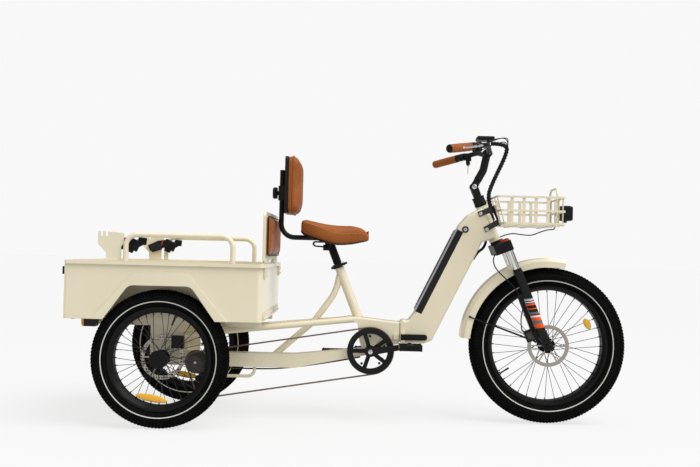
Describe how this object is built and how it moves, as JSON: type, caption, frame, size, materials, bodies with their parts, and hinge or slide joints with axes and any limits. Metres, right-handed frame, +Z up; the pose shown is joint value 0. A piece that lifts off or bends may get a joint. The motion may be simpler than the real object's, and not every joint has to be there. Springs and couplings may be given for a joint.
{
  "type": "cargo tricycle",
  "caption": "Folding cargo tricycle with an open goods box between the rear wheels, step-through frame, battery, sprung fork, front basket, saddle with backrest and fold-down panel",
  "frame": {"origin": "on the floor, midway along the length and on the centre plane", "axes": "+X forward, +Y to the rider's left, +Z up"},
  "size_m": [2.3519, 0.82, 1.2438],
  "materials": {
    "paint": "satin",
    "tyre": "matte",
    "black_metal": "satin",
    "steel": "brushed",
    "alloy": "satin",
    "black_plastic": "matte",
    "leather": "satin",
    "webbing": "woven",
    "chain": "oiled",
    "lens": "gloss",
    "battery": "matte",
    "cable": "matte"
  },
  "bodies": {
    "rear": {"seat_tube": "paint", "rear_stays": "paint", "main_beam": "paint", "rear_subframe": "paint", "cargo_box": "paint", "guard_rails": "paint", "seat_belts": "webbing", "tail_lamps": "lens", "chain": "chain", "derailleur": "black_metal", "rear_calipers": "black_metal", "frame_cables": "cable"},
    "tailgate": {"tailgate": "paint"},
    "tailgate_latch_left": {"tailgate_latch_left": "black_plastic"},
    "tailgate_latch_right": {"tailgate_latch_right": "black_plastic"},
    "panel": {"fold_panel": "paint", "panel_pad": "leather"},
    "crank": {"crankset": "black_metal", "chainring": "black_metal"},
    "pedal_left": {"pedal_left": "black_plastic"},
    "pedal_right": {"pedal_right": "black_plastic"},
    "cassette": {"cassette": "steel"},
    "front": {"down_tube": "paint", "battery": "battery", "head_tube": "paint", "basket": "paint", "front_cables": "cable"},
    "headlight": {"headlight": "black_plastic"},
    "fold_latch": {"fold_latch": "black_metal"},
    "steer": {"fork_crown": "black_metal", "stem_base": "black_metal", "harness": "cable"},
    "lowers": {"fork_lowers": "black_metal", "fender": "paint"},
    "stem": {"stem_upper": "black_metal", "handlebar": "black_metal", "grips": "leather"},
    "lever_left": {"brake_lever_left": "alloy"},
    "lever_right": {"brake_lever_right": "alloy"},
    "throttle": {"throttle": "black_plastic"},
    "post": {"seat_post": "black_metal", "bellows": "cable"},
    "seat": {"saddle": "leather", "backrest_tube": "black_metal"},
    "backrest": {"backrest_shell": "black_plastic", "backrest_pad": "leather"},
    "backrest_knob": {"backrest_knob": "black_plastic"},
    "seat_lever": {"seat_lever": "black_metal"},
    "wheel_rear_left": {"tyre_rear_left": "tyre", "rim_rear_left": "black_metal", "spokes_rear_left": "black_metal", "hub_rear_left": "black_metal"},
    "wheel_rear_right": {"tyre_rear_right": "tyre", "rim_rear_right": "black_metal", "spokes_rear_right": "black_metal", "hub_rear_right": "black_metal"},
    "wheel_front": {"tyre_front": "tyre", "rim_front": "black_metal", "spokes_front": "black_metal", "hub_front": "black_metal"}
  },
  "joints": [
    {"name": "fold", "type": "hinge", "parent": "rear", "child": "front", "pos_m": [0.191, 0.052, 0.378], "axis": [0, 0, -1], "range_deg": [-100, 0]},
    {"name": "fold_latch", "type": "hinge", "parent": "front", "child": "fold_latch", "pos_m": [0.207, -0.058, 0.3625], "axis": [0, 0, 1], "range_deg": [-110, 0]},
    {"name": "steer", "type": "hinge", "parent": "front", "child": "steer", "pos_m": [0.5721, 0, 0.86355], "axis": [-0.3827, 0, 0.9239], "range_deg": [-40, 40], "deforming": ["harness"]},
    {"name": "suspension", "type": "slide", "parent": "steer", "child": "lowers", "axis": [-0.3827, 0, 0.9239], "range_m": [0, 0.045], "stiffness_N_per_m": 9000, "springref_m": -0.02},
    {"name": "front_wheel", "type": "hinge", "parent": "lowers", "child": "wheel_front", "pos_m": [0.837, 0, 0.339], "axis": [0, 1, 0], "continuous": true},
    {"name": "stem_tilt", "type": "hinge", "parent": "steer", "child": "stem", "pos_m": [0.50589, 0, 1.02339], "axis": [0, 1, 0], "range_deg": [-20, 25], "deforming": ["harness"]},
    {"name": "brake_lever_left", "type": "hinge", "parent": "stem", "child": "lever_left", "pos_m": [0.49115, 0.25866, 1.17513], "axis": [-0.1062, 0.1097, 0.9883], "range_deg": [0, 11], "stiffness_Nm_per_rad": 2, "springref_deg": -5.73},
    {"name": "brake_lever_right", "type": "hinge", "parent": "stem", "child": "lever_right", "pos_m": [0.49115, -0.25866, 1.17513], "axis": [0.1062, 0.1097, -0.9883], "range_deg": [0, 11], "stiffness_Nm_per_rad": 2, "springref_deg": -5.73},
    {"name": "throttle", "type": "hinge", "parent": "stem", "child": "throttle", "pos_m": [0.4854, 0.22146, 1.17864], "axis": [0.6873, -0.7102, 0.1527], "range_deg": [0, 35], "stiffness_Nm_per_rad": 0.3, "springref_deg": -11.46},
    {"name": "rear_wheel_left", "type": "hinge", "parent": "rear", "child": "wheel_rear_left", "pos_m": [-0.781, 0.35, 0.278], "axis": [0, 1, 0], "continuous": true},
    {"name": "rear_wheel_right", "type": "hinge", "parent": "rear", "child": "wheel_rear_right", "pos_m": [-0.781, -0.35, 0.278], "axis": [0, 1, 0], "continuous": true},
    {"name": "crank", "type": "hinge", "parent": "rear", "child": "crank", "pos_m": [0.067, 0, 0.299], "axis": [0, 1, 0], "continuous": true},
    {"name": "pedal_right", "type": "hinge", "parent": "crank", "child": "pedal_right", "pos_m": [0.23442, -0.154, 0.32852], "axis": [0, 1, 0], "continuous": true},
    {"name": "pedal_left", "type": "hinge", "parent": "crank", "child": "pedal_left", "pos_m": [-0.10042, 0.154, 0.26948], "axis": [0, 1, 0], "continuous": true},
    {"name": "cassette", "type": "hinge", "parent": "rear", "child": "cassette", "pos_m": [-0.686, -0.055, 0.232], "axis": [0, 1, 0], "continuous": true},
    {"name": "seat_height", "type": "slide", "parent": "rear", "child": "post", "axis": [-0.373, 0, 0.9278], "range_m": [0, 0.08]},
    {"name": "seat_spring", "type": "slide", "parent": "post", "child": "seat", "axis": [-0.373, 0, 0.9278], "range_m": [-0.02, 0], "stiffness_N_per_m": 8000, "springref_m": 0.01, "deforming": ["bellows"]},
    {"name": "seat_lever", "type": "hinge", "parent": "rear", "child": "seat_lever", "pos_m": [-0.0592, -0.03, 0.6718], "axis": [-0.373, 0, 0.9278], "range_deg": [0, 88]},
    {"name": "backrest_height", "type": "slide", "parent": "seat", "child": "backrest", "axis": [0, 0, 1], "range_m": [-0.015, 0.08]},
    {"name": "backrest_knob", "type": "hinge", "parent": "backrest", "child": "backrest_knob", "pos_m": [-0.364, 0, 0.976], "axis": [1, 0, 0], "continuous": true},
    {"name": "fold_panel", "type": "hinge", "parent": "rear", "child": "panel", "pos_m": [-0.381, 0, 0.675], "axis": [0, -1, 0], "range_deg": [0, 90]},
    {"name": "tailgate", "type": "hinge", "parent": "rear", "child": "tailgate", "pos_m": [-1.155, 0, 0.429], "axis": [0, -1, 0], "range_deg": [0, 90]},
    {"name": "tailgate_latch_left", "type": "hinge", "parent": "tailgate", "child": "tailgate_latch_left", "pos_m": [-1.168, 0.376, 0.625], "axis": [1, 0, 0], "range_deg": [0, 90]},
    {"name": "tailgate_latch_right", "type": "hinge", "parent": "tailgate", "child": "tailgate_latch_right", "pos_m": [-1.168, -0.376, 0.625], "axis": [1, 0, 0], "range_deg": [0, 90]},
    {"name": "headlight", "type": "hinge", "parent": "front", "child": "headlight", "pos_m": [0.878, 0, 0.916], "axis": [0, 1, 0], "range_deg": [-8, 8]}
  ],
  "couplings": [
    {"joint": "cassette", "follows": "crank", "ratio": 2.425}
  ]
}
